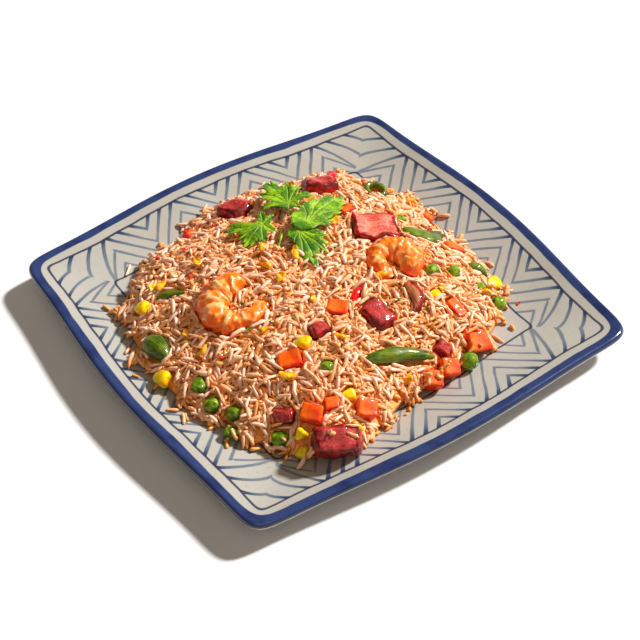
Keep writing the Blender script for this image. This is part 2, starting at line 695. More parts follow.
# %% Carrot
CARROT_DICE = (
    # x, y, heading, length, width, height
    (33.4, -11.3, 44, 10.5, 8.5, 7.0), (46.3, -48.0, 67, 11.5, 9.0, 8.0), (85.7, -31.4, 60, 10.0, 9.5, 9.0),
    (75.6, -55.4, 40, 10.5, 9.0, 9.0), (76.5, -44.5, 69, 7.0, 6.0, 6.0), (76.3, 44.4, 85, 12.5, 10.0, 8.0),
    (82.5, 21.8, 70, 9.0, 9.0, 8.5), (84.5, 10.6, 60, 9.0, 8.0, 7.5), (18.4, 73.8, 66, 11.0, 7.5, 5.5),
    (-27.9, 36.4, 98, 8.0, 6.5, 6.5), (-14.2, 80.6, 120, 6.5, 6.0, 5.0), (-79.5, -31.0, 15, 10.5, 6.5, 6.0),
    (58.3, 44.4, 8, 11.0, 6.0, 5.5),
)


def carrot_finish():
    """Orange flesh, redder in patches, with pale flecks where the knife tore it."""
    made, pen, shader = start_moist("oiled carrot", depth=2, share=0.3, radius=(1.0, 0.3, 0.05), coat=0.35)
    place = places(pen)
    tone, fine = cloudy(pen, place, 0.12, 2.0), cloudy(pen, place, 1.4, 3.0)
    body = paint(pen, 252, 104, 2).tint(paint(pen, 232, 40, 2), tone.ease(0.42, 0.62))
    body = body.tint(paint(pen, 255, 160, 50), fine.ease(0.6, 0.8) * 0.6)
    feed(pen, shader, Base_Color=body, Roughness=0.35 + fine * 0.3, Normal=relief(pen, fine, 0.25))
    return made


carrot = carrot_finish()
for number, (x, y, heading, *size) in enumerate(CARROT_DICE, 1):
    points, quads = block(size, 9.0, 11)
    points = wrinkle(wrinkle(points, 6.0, 0.8, number), 1.6, 0.16, number)
    node = f"carrot_dice_{number}"
    add_topping(node, points, quads, NO_TRIANGLES, carrot, "carrot", bed(node, x, y, heading))
print("carrot dice:", len(CARROT_DICE))

# %% [markdown]
# ## Peas
# A cooked pea is a ball with a thin skin that has sagged into a dimple or a few creases. A UV sphere has
# poles that would show in such a soft skin, and the block at its roundest has none. One dimple is pressed
# in, on another side of each pea, and every third pea is creased more than the rest.

# %% Peas
PEAS = (
    # x, y, heading, length, width, height
    (34.0, 47.5, 74, 8.8, 7.8, 7.8), (37.0, 59.5, 117, 7.8, 7.2, 7.2), (-10.9, 61.1, 85, 6.0, 5.6, 5.6),
    (59.5, 72.0, 97, 8.4, 7.8, 7.8), (83.5, 34.2, 82, 9.6, 9.2, 9.0), (24.9, -88.3, 42, 8.2, 7.8, 7.6),
    (36.8, -88.6, 57, 8.4, 7.8, 7.6), (48.2, -82.6, 31, 8.8, 8.0, 7.6), (54.6, -89.4, 15, 7.6, 6.6, 6.4),
    (72.6, -72.4, 41, 9.6, 8.2, 7.6), (60.2, -35.9, 60, 7.4, 6.8, 6.8), (49.6, 67.4, 72, 6.6, 6.0, 6.0),
)


def pea_finish():
    """Green skin, from yellowish to deep."""
    made, pen, shader = start_moist("pea skin", depth=2, share=0.3, radius=(0.9, 1.0, 0.05), coat=0.5)
    place = places(pen)
    tone, fine = cloudy(pen, place, 0.2, 3.0), cloudy(pen, place, 0.8, 2.0)
    body = paint(pen, 132, 164, 6).tint(paint(pen, 58, 98, 4), (tone * 0.85 + fine * 0.15).ease(0.4, 0.62))
    feed(pen, shader, Base_Color=body, Roughness=0.3 + fine * 0.3, Normal=relief(pen, fine, 0.3))
    return made


DIMPLE_DEPTH, DIMPLE_WIDTH = 0.2, 1.5
pea_skin = pea_finish()
for number, (x, y, heading, *size) in enumerate(PEAS, 1):
    points, quads = block(size, 2.0, 11)
    dimple = np.array([math.cos(number * 2.1), math.sin(number * 2.1), 0.9]) * min(size) * 0.42
    gap = np.linalg.norm(points - dimple, axis=1, keepdims=True)
    points = points * (1 - DIMPLE_DEPTH * np.exp(-((gap / DIMPLE_WIDTH) ** 2)))
    points = wrinkle(points, 2.4, 0.3 if number % 3 else 0.7, number)
    node = f"pea_{number}"
    add_topping(node, points, quads, NO_TRIANGLES, pea_skin, "pea", bed(node, x, y, heading))
print("peas:", len(PEAS))

# %% [markdown]
# ## Sweet corn
# A kernel cut from the cob is a soft wedge: a broad, glassy crown and a pale, narrow root. It could be
# lathed, but a kernel isn't round where its neighbours pressed on it. So the block is squeezed towards its
# root, and the crown gets the shallow dent of a cooked kernel.

# %% Corn
CORN_KERNELS = (
    # x, y, heading, length, width, height
    (46.0, 78.8, 100, 10.8, 8.6, 7.0), (-39.3, -83.4, 26, 9.6, 8.6, 6.8), (6.4, -99.2, 29, 10.2, 9.0, 7.0),
    (76.2, -34.4, 69, 7.6, 6.6, 5.6), (85.2, -68.6, 44, 8.0, 7.2, 6.4), (80.0, -65.0, 100, 6.4, 6.0, 5.6),
    (47.9, 39.0, 72, 7.4, 6.8, 6.0), (42.0, -37.4, 41, 9.0, 7.6, 6.2),
)


def corn_finish():
    """Glassy yellow, paler towards the root end."""
    made, pen, shader = start_moist("corn kernel", depth=3, share=0.6, radius=(1.0, 0.8, 0.05), coat=0.4)
    place = places(pen)
    along = pen.node("ShaderNodeSeparateXYZ", {}, {0: place})
    tone = cloudy(pen, place, 0.25, 2.0)
    body = paint(pen, 255, 226, 8).tint(paint(pen, 250, 178, 2), tone.ease(0.4, 0.65))
    body = body.tint(paint(pen, 255, 236, 130), (-1.8 - along).ease(0.0, 2.2) * 0.6)
    feed(pen, shader, Base_Color=body, Roughness=0.25 + tone * 0.2, Normal=relief(pen, tone, 0.3))
    return made


ROOT_WIDTH, DENT = 0.42, 0.9
kernel_skin = corn_finish()
for number, (x, y, heading, *size) in enumerate(CORN_KERNELS, 1):
    points, quads = block(size, 3.0, 9)
    share = points[:, 0] / size[0] + 0.5
    crown = np.sin(np.pi / 2 * np.clip(share * 1.25, 0, 1))
    points[:, 1:] *= (ROOT_WIDTH + (1 - ROOT_WIDTH) * crown)[:, None]
    dent = np.exp(-(points[:, 1] ** 2 + points[:, 2] ** 2) / 3.0) * (share > 0.5)
    points[:, 0] -= DENT * dent
    points = wrinkle(points, 3.0, 0.3, number + 40)
    node = f"corn_kernel_{number}"
    add_topping(node, points, quads, NO_TRIANGLES, kernel_skin, "corn", bed(node, x, y, heading))
print("corn kernels:", len(CORN_KERNELS))

# %% [markdown]
# ## Roast pork
# Red roast pork is cut from a glazed strip, so a piece has a dark red rim and a paler, fibrous inside,
# with streaks of fat. The rim is found by how near a point lies to the ends of the block and is stored on
# the mesh, because a shader can't know where a piece was cut. The fibres are noise stretched along the
# piece. The first piece is a thin slice that shows its pale inside, with its corners curled up; the others
# are chunks that narrow towards the top.

# %% Pork
PORK_PIECES = (
    # x, y, heading, length, width, height
    (-7.0, 41.1, 68, 25.0, 20.0, 5.0), (-58.1, 41.0, 69, 19.0, 15.0, 9.0),
    (-70.5, -6.5, 22, 17.0, 14.0, 10.0), (46.4, 4.3, 10, 17.0, 14.0, 8.0),
    (40.7, -26.8, 75, 9.5, 8.5, 7.0), (95.0, -54.6, 62, 23.5, 15.0, 13.0),
    (67.0, -65.6, 52, 10.5, 8.5, 7.0), (73.3, 25.0, 30, 9.0, 8.0, 7.0),
)


def pork_finish(name, face, fibres):
    """Cut meat in two colours, with streaks of fat, a dark red rim and patches of browning."""
    made, pen, shader = start_moist(name, 2, 0.15, (1.0, 0.3, 0.2), coat=0.55, specular=0.15)
    place = places(pen)
    strand, tone = cloudy(pen, drawn_out(pen, place, 0.2), 0.6, 4.0), cloudy(pen, place, 0.2, 3.0)
    speck, rim = cloudy(pen, place, 0.9, 2.0), stored(pen, "rim")
    grain = (strand * 0.35 + tone * 0.3 + speck * 0.35).ease(0.42, 0.58)
    body = paint(pen, *face).tint(paint(pen, *fibres), grain)
    body = body.tint(paint(pen, 236, 176, 160), (speck * 0.6 + strand * 0.4).ease(0.57, 0.66) * 0.35)
    glaze = paint(pen, 170, 4, 8).tint(paint(pen, 108, 2, 2), tone.ease(0.4, 0.6))
    body = body.tint(glaze, (rim + tone * 1.1 - 0.5).ease(0.2, 0.55))
    body = body.tint(paint(pen, 236, 110, 26), (tone * 0.5 + speck * 0.5).ease(0.62, 0.7) * 0.7)
    feed(pen, shader, Base_Color=body, Roughness=0.35 + tone * 0.25)
    feed(pen, shader, Normal=relief(pen, strand * 0.4 + speck * 0.6, 0.45))
    return made


RIM_STARTS, RIM_SOFTNESS = 0.78, 0.2
CURL, SLICE_WAVE, CHUNK_TAPER = 2.2, 0.5, 0.2
pork = pork_finish("glazed pork", (198, 66, 62), (140, 8, 16))
slab = pork_finish("pale pork slice", (240, 138, 110), (212, 62, 56))
for number, (x, y, heading, *size) in enumerate(PORK_PIECES, 1):
    is_slice = number == 1
    points, quads = block(size, 7.0 if is_slice else 4.5, 17)
    across = np.abs(points / np.array(size) * 2)
    rim = np.clip((across[:, :2].max(1) - RIM_STARTS) / RIM_SOFTNESS, 0, 1)
    if is_slice:
        wave = SLICE_WAVE * np.sin(points[:, 0] / 2.6)
        points[:, 2] += CURL * across[:, 0] ** 3 * across[:, 1] ** 3 + wave
    else:
        points[:, :2] *= (1 - CHUNK_TAPER * points[:, 2:] / size[2])
    points = wrinkle(wrinkle(points, 7.0, 1.5, number + 60), 2.0, 0.4, number + 60)
    node = f"roast_pork_{number}"
    finish, lying = slab if is_slice else pork, bed(node, x, y, heading)
    add_topping(node, points, quads, NO_TRIANGLES, finish, "roast_pork", lying, {"rim": rim})
print("pieces of roast pork:", len(PORK_PIECES))

# %% [markdown]
# ## Beans, chilli and a curl of pork
# Pods, slices and strips are long bodies whose thickness swells and fades along a line. A curve with a
# bevel could make them, but it has no seam and no lumps where the seeds lie. One function sweeps a ring
# along a bowed line instead: a wide, low ring gives a slice, and a round one a pod. The curl of pork is
# the same body, strongly bowed, with its dark red rim along the outer side of the bow.

# %% The swept body
def pod(length, width, height, bow, rings=30, sides=18, seam=0.0, lumps=0.0):
    """Points, quads and triangles of a bowed body that is pointed at both ends."""
    steps = (1 - np.cos(np.pi * (np.arange(rings) + 0.6) / (rings + 0.2))) / 2
    turn = full_turn(sides)
    thickness = np.sin(np.pi * steps**0.8) ** 0.6 * (1 + lumps * np.sin(steps * 6 * np.pi))
    ridge = 1 + seam * sum(np.exp(-((np.cos(turn) - edge) ** 2) / 0.02) for edge in (1, -1))
    centre = np.stack([(steps - 0.5) * length, length * bow * np.sin(np.pi * steps), 0 * steps], -1)
    aside = np.outer(thickness, ridge * np.cos(turn)) * width / 2
    rise = np.outer(thickness, ridge * np.sin(turn)) * height / 2
    ring_points = centre[:, None] + np.stack([0 * aside, aside, rise], -1)
    ends = [[[-length / 2, 0, 0]], *ring_points, [[length / 2, 0, 0]]]
    return np.concatenate(ends), *skin(rings, sides)


# %% Bean, pepper and crescent finishes
def bean_finish():
    """Green skin in two tones, with pale fibres along the pod."""
    made, pen, shader = start_finish(
        "green bean skin", Specular_IOR_Level=0.2, Coat_Weight=0.6, Coat_Roughness=0.06,
    )
    place = places(pen)
    tone, strand = cloudy(pen, place, 0.14, 3.0), cloudy(pen, drawn_out(pen, place, 0.15), 1.0, 3.0)
    body = paint(pen, 108, 128, 8).tint(paint(pen, 56, 82, 4), (tone * 0.6 + strand * 0.4).ease(0.4, 0.6))
    body = body.tint(paint(pen, 166, 174, 50), strand.ease(0.6, 0.75) * 0.6)
    feed(pen, shader, Base_Color=body, Roughness=0.3 + tone * 0.25, Normal=relief(pen, strand, 0.4))
    return made


def pepper_finish():
    """Bright red, wet skin."""
    made, pen, shader = start_finish(
        "red pepper skin", Specular_IOR_Level=0.2, Coat_Weight=0.7, Coat_Roughness=0.05,
    )
    tone = cloudy(pen, places(pen), 0.2, 2.0)
    body = paint(pen, 244, 12, 6).tint(paint(pen, 204, 2, 4), tone.ease(0.4, 0.65))
    feed(pen, shader, Base_Color=body, Roughness=0.2 + tone * 0.2, Normal=relief(pen, tone, 0.3))
    return made


bean, pepper = bean_finish(), pepper_finish()

# %% Beans and peppers
LONG_PIECES = (
    # node, x, y, heading, length, width, height, bow, finish, slot
    ("green_bean_1", 71.0, 0.2, 69, 38.0, 8.0, 7.0, 0.06, bean, "green_bean"),
    ("green_bean_2", 36.0, 76.8, 44, 12.0, 7.0, 6.0, 0.06, bean, "green_bean"),
    ("green_bean_3", -33.3, -69.4, 51, 17.0, 5.0, 4.5, 0.06, bean, "green_bean"),
    ("green_bean_4", -9.5, -92.6, 8, 20.0, 11.5, 9.5, 0.06, bean, "green_bean"),
    ("bean_slice_1", 0.4, 66.7, 84, 27.0, 12.0, 5.0, -0.222, bean, "green_bean"),
    ("red_pepper_1", -68.0, 54.5, -30, 14.0, 5.6, 5.0, 0.06, pepper, "red_pepper"),
    ("red_pepper_2", 31.0, 3.5, 111, 12.0, 5.0, 4.2, 0.06, pepper, "red_pepper"),
)
for number, (node, x, y, heading, *sizes, bow, finish, slot) in enumerate(LONG_PIECES, 1):
    points, quads, ends = pod(*sizes, bow, seam=0.05, lumps=0.03)
    points = wrinkle(points, 4.0, 0.3, number + 80)
    add_topping(node, points, quads, ends, finish, slot, bed(node, x, y, heading))
print("beans and peppers:", len(LONG_PIECES))

# %% A curl of pork
CURL_RINGS, CURL_SIDES = 30, 20
points, quads, ends = pod(19.5, 7.5, 5.5, 0.205, rings=CURL_RINGS, sides=CURL_SIDES)
outward = np.concatenate([[0], np.tile(np.cos(full_turn(CURL_SIDES)), CURL_RINGS), [0]])
rim = np.clip(outward * 2.5 + 0.2, 0, 1)
points = wrinkle(points, 3.0, 0.6, 90) - (0, 2.0, 0)
node = "pork_crescent_1"
browned = pork_finish("browned pork", (190, 122, 74), (142, 62, 30))
add_topping(node, points, quads, ends, browned, "roast_pork", bed(node, 46.3, 27.0, -21), {"rim": rim})
print("curl of pork:", len(points), "points")

# %% [markdown]
# ## A ring of bean
# One slice across a bean has lost its seeds, so it is an oval ring, and a loose strip of skin hangs from
# it. The ring could be a torus primitive, but that one can't be oval in its outline with an even wall. It
# leans against the rice, so it is tipped about a line through its middle, lifted until its low edge rests,
# and turned to its heading.

# %% A ring of bean
RING_STEPS, RING_SIDES = 48, 16
RING_TIP, RING_TIP_LINE = math.radians(34), (0.545, 0.839, 0)
RING_LIFT, RING_HEADING = 1.4, math.radians(57)
STRIP_HEADING, STRIP_PLACE = math.radians(20), (8.0, -1.5, 0.0)


def torus(length, width, height, wall, steps, sides):
    """Points and quads of an oval ring."""
    turn, around = full_turn(steps), full_turn(sides)
    out = wall * np.cos(around)
    x = np.cos(turn)[:, None] * (length / 2 - wall + out)
    y = np.sin(turn)[:, None] * (width / 2 - wall + out)
    z = np.ones((steps, 1)) * height / 2 * np.sin(around)
    step, side = np.meshgrid(np.arange(steps), np.arange(sides), indexing="ij")
    after, beside = (step + 1) % steps * sides, (side + 1) % sides
    quads = np.stack([step * sides + side, after + side, after + beside, step * sides + beside], -1)
    return np.stack([x, y, z], -1).reshape(-1, 3), quads.reshape(-1, 4)


points, quads = torus(13.5, 11.5, 4.4, 1.7, RING_STEPS, RING_SIDES)
strip_points, strip_quads, strip_ends = pod(10.0, 3.4, 2.6, -0.1)
strip_turn = np.array(Matrix.Rotation(STRIP_HEADING, 3, "Z"))
strip_points = strip_points @ strip_turn.T + STRIP_PLACE
quads, strip_ends = np.concatenate([quads, strip_quads + len(points)]), strip_ends + len(points)
points = wrinkle(np.concatenate([points, strip_points]), 3.0, 0.3, 95)
node = "bean_ring_1"
tipped = bed(node, -42.5, 66.6) @ Matrix.Rotation(RING_TIP, 4, Vector(RING_TIP_LINE))
lying = Matrix.Translation((0, 0, RING_LIFT * MM)) @ tipped @ Matrix.Rotation(RING_HEADING, 4, "Z")
add_topping(node, points, quads, strip_ends, bean, "green_bean", lying)
print("ring of bean:", len(quads), "faces")

# %% [markdown]
# ## Shrimps
# A peeled shrimp curls as it cooks. Its body is a row of six plates of muscle with a waist at each joint,
# and it tapers to a flat tail fan. It could be sculpted, but sweeping one ring along the curl keeps the
# plates even: they come from six swellings in its radius. The joints and the line of the back are stored
# for the finish, because orange pigment gathers there, while the flesh between stays pale.

# %% Shrimp finish
def shrimp_finish():
    """Pale flesh, orange along the back and in patches, and redder where the orange is strongest."""
    made, pen, shader = start_moist(
        "cooked shrimp", depth=3, share=0.3, radius=(1.0, 0.4, 0.15),
        coat=0.6, coat_roughness=0.07, specular=0.25,
    )
    place, lump, spine = places(pen), stored(pen, "lump"), stored(pen, "spine")
    patch, fine = cloudy(pen, place, 0.3, 3.0), cloudy(pen, place, 0.9, 3.0)
    orange = (spine * 0.5 - lump * 0.8 + patch * 0.9 + fine * 0.3).ease(0.0, 0.55)
    body = paint(pen, 255, 190, 120).tint(paint(pen, 255, 128, 4), orange)
    red = (orange * 0.5 + patch * 0.7 + spine * 0.2).ease(0.86, 1.15)
    body = body.tint(paint(pen, 246, 72, 6), red * 0.8)
    feed(pen, shader, Base_Color=body, Roughness=0.25 + fine * 0.2, Normal=relief(pen, fine, 0.3))
    return made


shrimp_skin = shrimp_finish()


# %% Shrimp bodies
BODY_RINGS, FAN_RINGS, SHRIMP_SIDES, BODY_PLATES = 96, 10, 28, 6
UP = np.array([0, 0, 1.0])


def shrimp_girth(along, thickness):
    """Half thickness along the body: swollen behind the head, waisted at each joint, blunt at the nose."""
    belly = 0.74 + 0.32 * np.sin(np.pi * np.minimum(along * 1.25, 1)) - 0.16 * along**2
    joints = 0.9 + 0.16 * np.sin(np.pi * (along * BODY_PLATES % 1)) ** 0.6
    nose = np.minimum(1, np.sqrt(np.maximum(0.02, along * 9)))
    return thickness / 2 * belly * joints * nose


def shrimp(node, middle, curl, start, sweep, thickness, fan, seed):
    """A body curled round a circle of radius curl, from a bearing through a sweep, with a flat tail fan."""
    along = np.arange(BODY_RINGS) / (BODY_RINGS - 1)
    turn, half = np.radians(start + sweep * along), shrimp_girth(along, thickness)
    centre = np.stack([np.cos(turn) * curl, np.sin(turn) * curl, 1.5 - 2.5 * along], -1)
    outward = np.stack([np.cos(turn), np.sin(turn), 0 * turn], -1)
    across, up = np.cos(full_turn(SHRIMP_SIDES)), 0.95 * np.sin(full_turn(SHRIMP_SIDES))
    body = (centre[:, None] + outward[:, None] * (half[:, None] * across)[..., None]
            + UP * (half[:, None] * up)[..., None])

    # The last ring is carried on, spread and flattened, into the fan.
    heading = np.stack([-np.sin(turn), np.cos(turn), 0 * turn], -1)
    last, rings = body[-1] - centre[-1], list(body)
    for share in np.linspace(0.1, 1, FAN_RINGS):
        spread = np.where(np.abs(across) > 0.3, 1.0 + 0.25 * share, 1.0) * (1 - 0.45 * share**3)
        flat = np.stack([last[:, 0] * spread, last[:, 1] * spread, last[:, 2] * (1 - 0.75 * share)], -1)
        rings.append(centre[-1] + heading[-1] * fan * share + flat)
    nose, tip = centre[0] - heading[0] * 0.6, centre[-1] + heading[-1] * (fan + 0.4)
    points = np.concatenate([[nose], *rings, [tip]])
    quads, ends = skin(len(rings), SHRIMP_SIDES)

    # Lumps swell the flesh away from its centre line, and are stored for the finish.
    shift = Vector((seed, seed * 2, 0))
    lump = np.array([noise.noise(Vector(p) / 2.6 + shift) for p in points])
    centres = np.concatenate([
        [centre[0]], np.repeat(centre, SHRIMP_SIDES, 0),
        np.repeat([centre[-1]], FAN_RINGS * SHRIMP_SIDES, 0), [tip],
    ])
    points += (points - centres) * (0.22 * lump)[:, None]
    points = wrinkle(points, 6.0, 0.7, seed)
    joint = np.concatenate([1 - np.sin(np.pi * (along * BODY_PLATES % 1)) ** 0.6, np.full(FAN_RINGS, 0.4)])
    joint = np.concatenate([[0], np.repeat(joint, SHRIMP_SIDES), [1]])
    values = {
        "lump": np.clip(lump * 1.6 + 0.35, 0, 1) * (1 - 0.7 * joint),
        "spine": np.concatenate([[0.8], np.tile(np.clip(across, 0, 1), len(rings)), [1.0]]),
    }
    add_topping(node, points, quads, ends, shrimp_skin, "cooked_shrimp", bed(node, *middle), values)
    print(node, len(points), "points")


shrimp("shrimp_1", (0.5, -50.0), curl=12.0, start=122, sweep=262, thickness=15.5, fan=8.0, seed=3)
shrimp("shrimp_2", (21.2, 32.2), curl=8.8, start=-8, sweep=290, thickness=14.6, fan=7.5, seed=5)

# %% [markdown]
# ## Coriander
# A coriander leaf is a thin blade with broad lobes, small teeth at their ends, and a vein down each lobe
# from one point. A picture of a leaf on a flat card would look thin from the side, so the blade has a real
# thickness. It is made on a polar grid: the outline is the farthest-reaching lobe at each bearing, and the
# height folds along the veins and droops towards the rim.

# %% Coriander finish
def coriander_finish():
    """Fresh green in two tones, with paler veins that stand up a little."""
    made, pen, shader = start_moist(
        "coriander leaf", depth=1, share=0.15, radius=(0.6, 1.0, 0.05),
        coat=0.3, coat_roughness=0.25, specular=0.3,
    )
    place, vein = places(pen), stored(pen, "vein")
    tone, fine = cloudy(pen, place, 0.12, 3.0), cloudy(pen, place, 0.9, 3.0)
    body = paint(pen, 148, 192, 8).tint(paint(pen, 62, 118, 4), (tone * 0.6 + fine * 0.4).ease(0.4, 0.58))
    body = body.tint(paint(pen, 176, 208, 60), vein * 0.45)
    feed(pen, shader, Base_Color=body, Roughness=0.4 + fine * 0.25)
    feed(pen, shader, Normal=relief(pen, fine * 0.6 + vein * 0.4, 0.6))
    return made


coriander = coriander_finish()


# %% Coriander leaves
# Teeth are given as degrees off the lobe and shares of its length.
TEETH = ((-18, 0.62), (-9.5, 0.86), (0, 1.0), (9.5, 0.86), (18, 0.62))
SPOKES, LEAF_RINGS, BLADE, TOOTH_HALF, LEAF_RISE, VEIN_REACH = 360, 7, 0.4, 6.2, 0.8, 99.0


def bearing_gap(turn, bearing):
    """How many degrees lie between angles in radians and a bearing."""
    return np.abs((np.degrees(turn) - bearing + 180) % 360 - 180)


def leaf(node, middle, pitch, roll, lobes, seed):
    """A blade whose lobes, given as bearings and lengths, each end in five teeth."""
    turn = np.radians(360 * np.arange(SPOKES) / SPOKES)
    reach = np.full(SPOKES, 0.24 * max(length for _, length in lobes))
    for bearing, length in lobes:
        for side, share in TEETH:
            tooth = np.clip(1 - (bearing_gap(turn, bearing + side) / TOOTH_HALF) ** 2, 0, 1) ** 0.36
            reach = np.maximum(reach, length * share * tooth)
    nearest = np.minimum(np.min([bearing_gap(turn, bearing) for bearing, _ in lobes], 0), VEIN_REACH)
    reach = (np.roll(reach, 1) + 2 * reach + np.roll(reach, -1)) / 4
    share = (np.arange(LEAF_RINGS) + 1) / LEAF_RINGS
    x, y = np.outer(share, reach * np.cos(turn)), np.outer(share, reach * np.sin(turn))
    out = np.hypot(x, y)
    fold = np.minimum(np.radians(nearest) * out, 4)
    z = LEAF_RISE - 0.004 * out**2 + 0.3 * fold - 0.04 * fold**2
    top = np.stack([x, y, z + BLADE / 2], -1)
    under = top[::-1] - (0, 0, BLADE)
    ends = [[0, 0, LEAF_RISE + BLADE / 2]], [[0, 0, LEAF_RISE - BLADE / 2]]
    points = np.concatenate([ends[0], top.reshape(-1, 3), under.reshape(-1, 3), ends[1]])
    points = wrinkle(points, 8.0, 1.6, seed)
    rib = np.exp(-((np.radians(nearest) * out / 0.35) ** 2)) * (out < 0.85 * reach)
    rib += np.exp(-((out / 2.2) ** 2))
    vein = np.clip(np.concatenate([[1.0], rib.ravel(), rib[::-1].ravel(), [1.0]]), 0, 1)
    tip = Euler((math.radians(roll), math.radians(pitch), 0)).to_matrix().to_4x4()
    lying = Matrix.Translation(Vector(middle) * MM) @ tip
    add_topping(node, points, *skin(2 * LEAF_RINGS, SPOKES), coriander, "coriander", lying, {"vein": vein})
    print(node, len(lobes), "lobes")


leaf("coriander_leaf_1", (-44, 11, 43.5), -7, 4,
     ((11, 9), (73, 14), (126, 17), (150, 20), (177, 27), (200, 20), (246, 14), (326, 8)), 1)
leaf("coriander_leaf_2", (-23.5, 9, 45.8), 0, -5,
     ((37, 13), (63, 15), (92, 24), (110, 35), (126, 25), (150, 15)), 2)
leaf("coriander_leaf_3", (-18.5, 2, 45), 3, 4,
     ((12, 20), (345, 27), (330, 17), (300, 9), (42, 15)), 3)
leaf("coriander_leaf_4", (-36.5, -9.5, 42.5), -8, 8,
     ((12, 11), (108, 10), (150, 12), (230, 22), (262, 15), (289, 19), (325, 14)), 4)

# %% [markdown]
# ## The stem of the sprig
# The four leaves hang on one thin stem that bends over the rice. Four places along it are joined by
# straight lines, which are then smoothed by moving each point towards its neighbours. A curve object would
# give the same line, but here the ring is swept with the helper that made the other pieces.

# %% Coriander stem
STEM_STEPS, STEM_SIDES, STEM_RADIUS, STEM_END = 24, 10, 0.8, 0.3
route = np.array(((-31, -2.4, 40.6), (-27.6, -3.4, 42.4), (-23.4, -7, 42.4), (-18.6, -12.6, 39.4)))
knots = np.linspace(0, len(route) - 1, STEM_STEPS)
line = np.stack([np.interp(knots, range(len(route)), route[:, axis]) for axis in range(3)], -1)
for _ in range(12):
    line[1:-1] = (line[:-2] + line[1:-1] * 2 + line[2:]) / 4
ahead = np.gradient(line, axis=0)
ahead /= np.linalg.norm(ahead, axis=1, keepdims=True)
aside = np.cross(ahead, UP)
lift = np.cross(aside, ahead)
across, up = np.cos(full_turn(STEM_SIDES)), np.sin(full_turn(STEM_SIDES))
hoops = [p + STEM_RADIUS * (np.outer(across, a) + np.outer(up, b)) for p, a, b in zip(line, aside, lift)]
points = np.concatenate([[line[0] - ahead[0] * STEM_END], *hoops, [line[-1] + ahead[-1] * STEM_END]])
values = {"vein": np.full(len(points), 0.8)}
add_topping("coriander_stem", points, *skin(STEM_STEPS, STEM_SIDES), coriander, "coriander", None, values)
print("toppings:", len(toppings))

# %% [markdown]
# ## Making room for the toppings
# The map of heights has to know the toppings before the grains come, so that grains lie against them and
# not inside. Their boxes would be quicker to use, but then a bare square would be left round each pea. A
# ray is sent straight down through each cell over a topping instead. Leaves stand clear of the rice, so
# there the ray holds the rice down below them.

# %% Toppings on the map
LEAF_CLEARANCE, BURIED, SKY_HEIGHT = 1.6, 2, 200
topped = np.zeros(surface.shape, bool)


def raise_map(piece):
    """Raise the map of heights to the top of a piece, or keep the rice below a piece that stands clear."""
    place = piece.matrix_world
    corners = [place @ vert.co / MM for vert in piece.data.vertices]
    tree = BVHTree.FromPolygons(corners, [list(face.vertices) for face in piece.data.polygons])
    low, high = np.min(corners, 0), np.max(corners, 0)
    (i0, i1), (j0, j1) = cell_of((low[0], high[0]), (low[1], high[1]))
    for i in range(i0, i1 + 1):
        for j in range(j0, j1 + 1):
            hit = tree.ray_cast(Vector((map_x[i, j], map_y[i, j], SKY_HEIGHT)), Vector((0, 0, -1)))[0]
            if hit is None:
                continue
            if piece.name.startswith("fine_coriander"):
                target[i, j] = min(target[i, j], hit.z - LEAF_CLEARANCE)
            else:
                surface[i, j] = max(surface[i, j], hit.z)
                topped[i, j] |= hit.z > target[i, j] - BURIED


for piece in toppings:
    raise_map(piece)
print("cells under toppings:", int(topped.sum()))

# %% [markdown]
# ## Grains of rice
# A cooked long grain is a slim capsule, a little bent and flattened, with one end blunter than the other.
# Some are broken and some are swollen. Copies of one object could be laid, but thousands of objects are
# slow to handle. So a few shapes are made once as points, then turned, tipped and stretched for each
# grain, so that no two lie alike, and every kind of grain is joined into one mesh.

# %% Shapes of grains
GRAIN_SIDES, GRAIN_RINGS, GRAIN_SHAPES = 6, 5, 24


def grain_shape(bend, blunt, flat, waist):
    """A grain of length 1 and width 1, which its user stretches; the points start and end at its tips."""
    along = 0.5 - 0.5 * np.cos(np.pi * (np.arange(GRAIN_RINGS) + 0.62) / (GRAIN_RINGS + 0.24))
    radius = (1 - np.abs(2 * along - 1) ** (2.2 + blunt)) ** 0.5 * (1 - waist * np.sin(2 * np.pi * along))
    turn = 2 * np.pi * (np.arange(GRAIN_SIDES) + 0.5) / GRAIN_SIDES
    rings = []
    for s, r in zip(along, radius):
        swell = r * (1 + random.uniform(-0.2, 0.2, GRAIN_SIDES)) / 2
        lean = s - 0.5 + random.uniform(-0.035, 0.035, GRAIN_SIDES)
        rings.append(np.stack(
            [lean, bend * np.sin(np.pi * s) + swell * np.cos(turn), swell * flat * np.sin(turn)], -1
        ))
    return np.concatenate([[[-0.5, 0, 0]], *rings, [[0.5, 0, 0]]])


shapes = np.array([
    grain_shape(bend, blunt, flat, waist)
    for bend, blunt, flat, waist in zip(
        random.uniform(-0.3, 0.3, GRAIN_SHAPES), random.uniform(0.4, 5.0, GRAIN_SHAPES),
        random.uniform(0.6, 0.95, GRAIN_SHAPES), random.uniform(-0.2, 0.25, GRAIN_SHAPES),
    )
])
print("grains:", GRAIN_SHAPES, "shapes of", shapes.shape[1], "points")

# %% [markdown]
# ## How a grain comes to rest
# A dropped grain tips with what lies under it and sinks a little into the hollows. Blender's rigid bodies
# could drop all the grains, but for thousands of them that takes long and never ends the same way. Here
# five cells of the map under the grain give its slope and its height, and then the grain raises the map,
# so that the next one lies on it.

# %% Settling one grain
STEEPEST, SLOPE_KEPT, LIFT, HALF_THICK = 0.9, 0.8, 0.12, 0.42


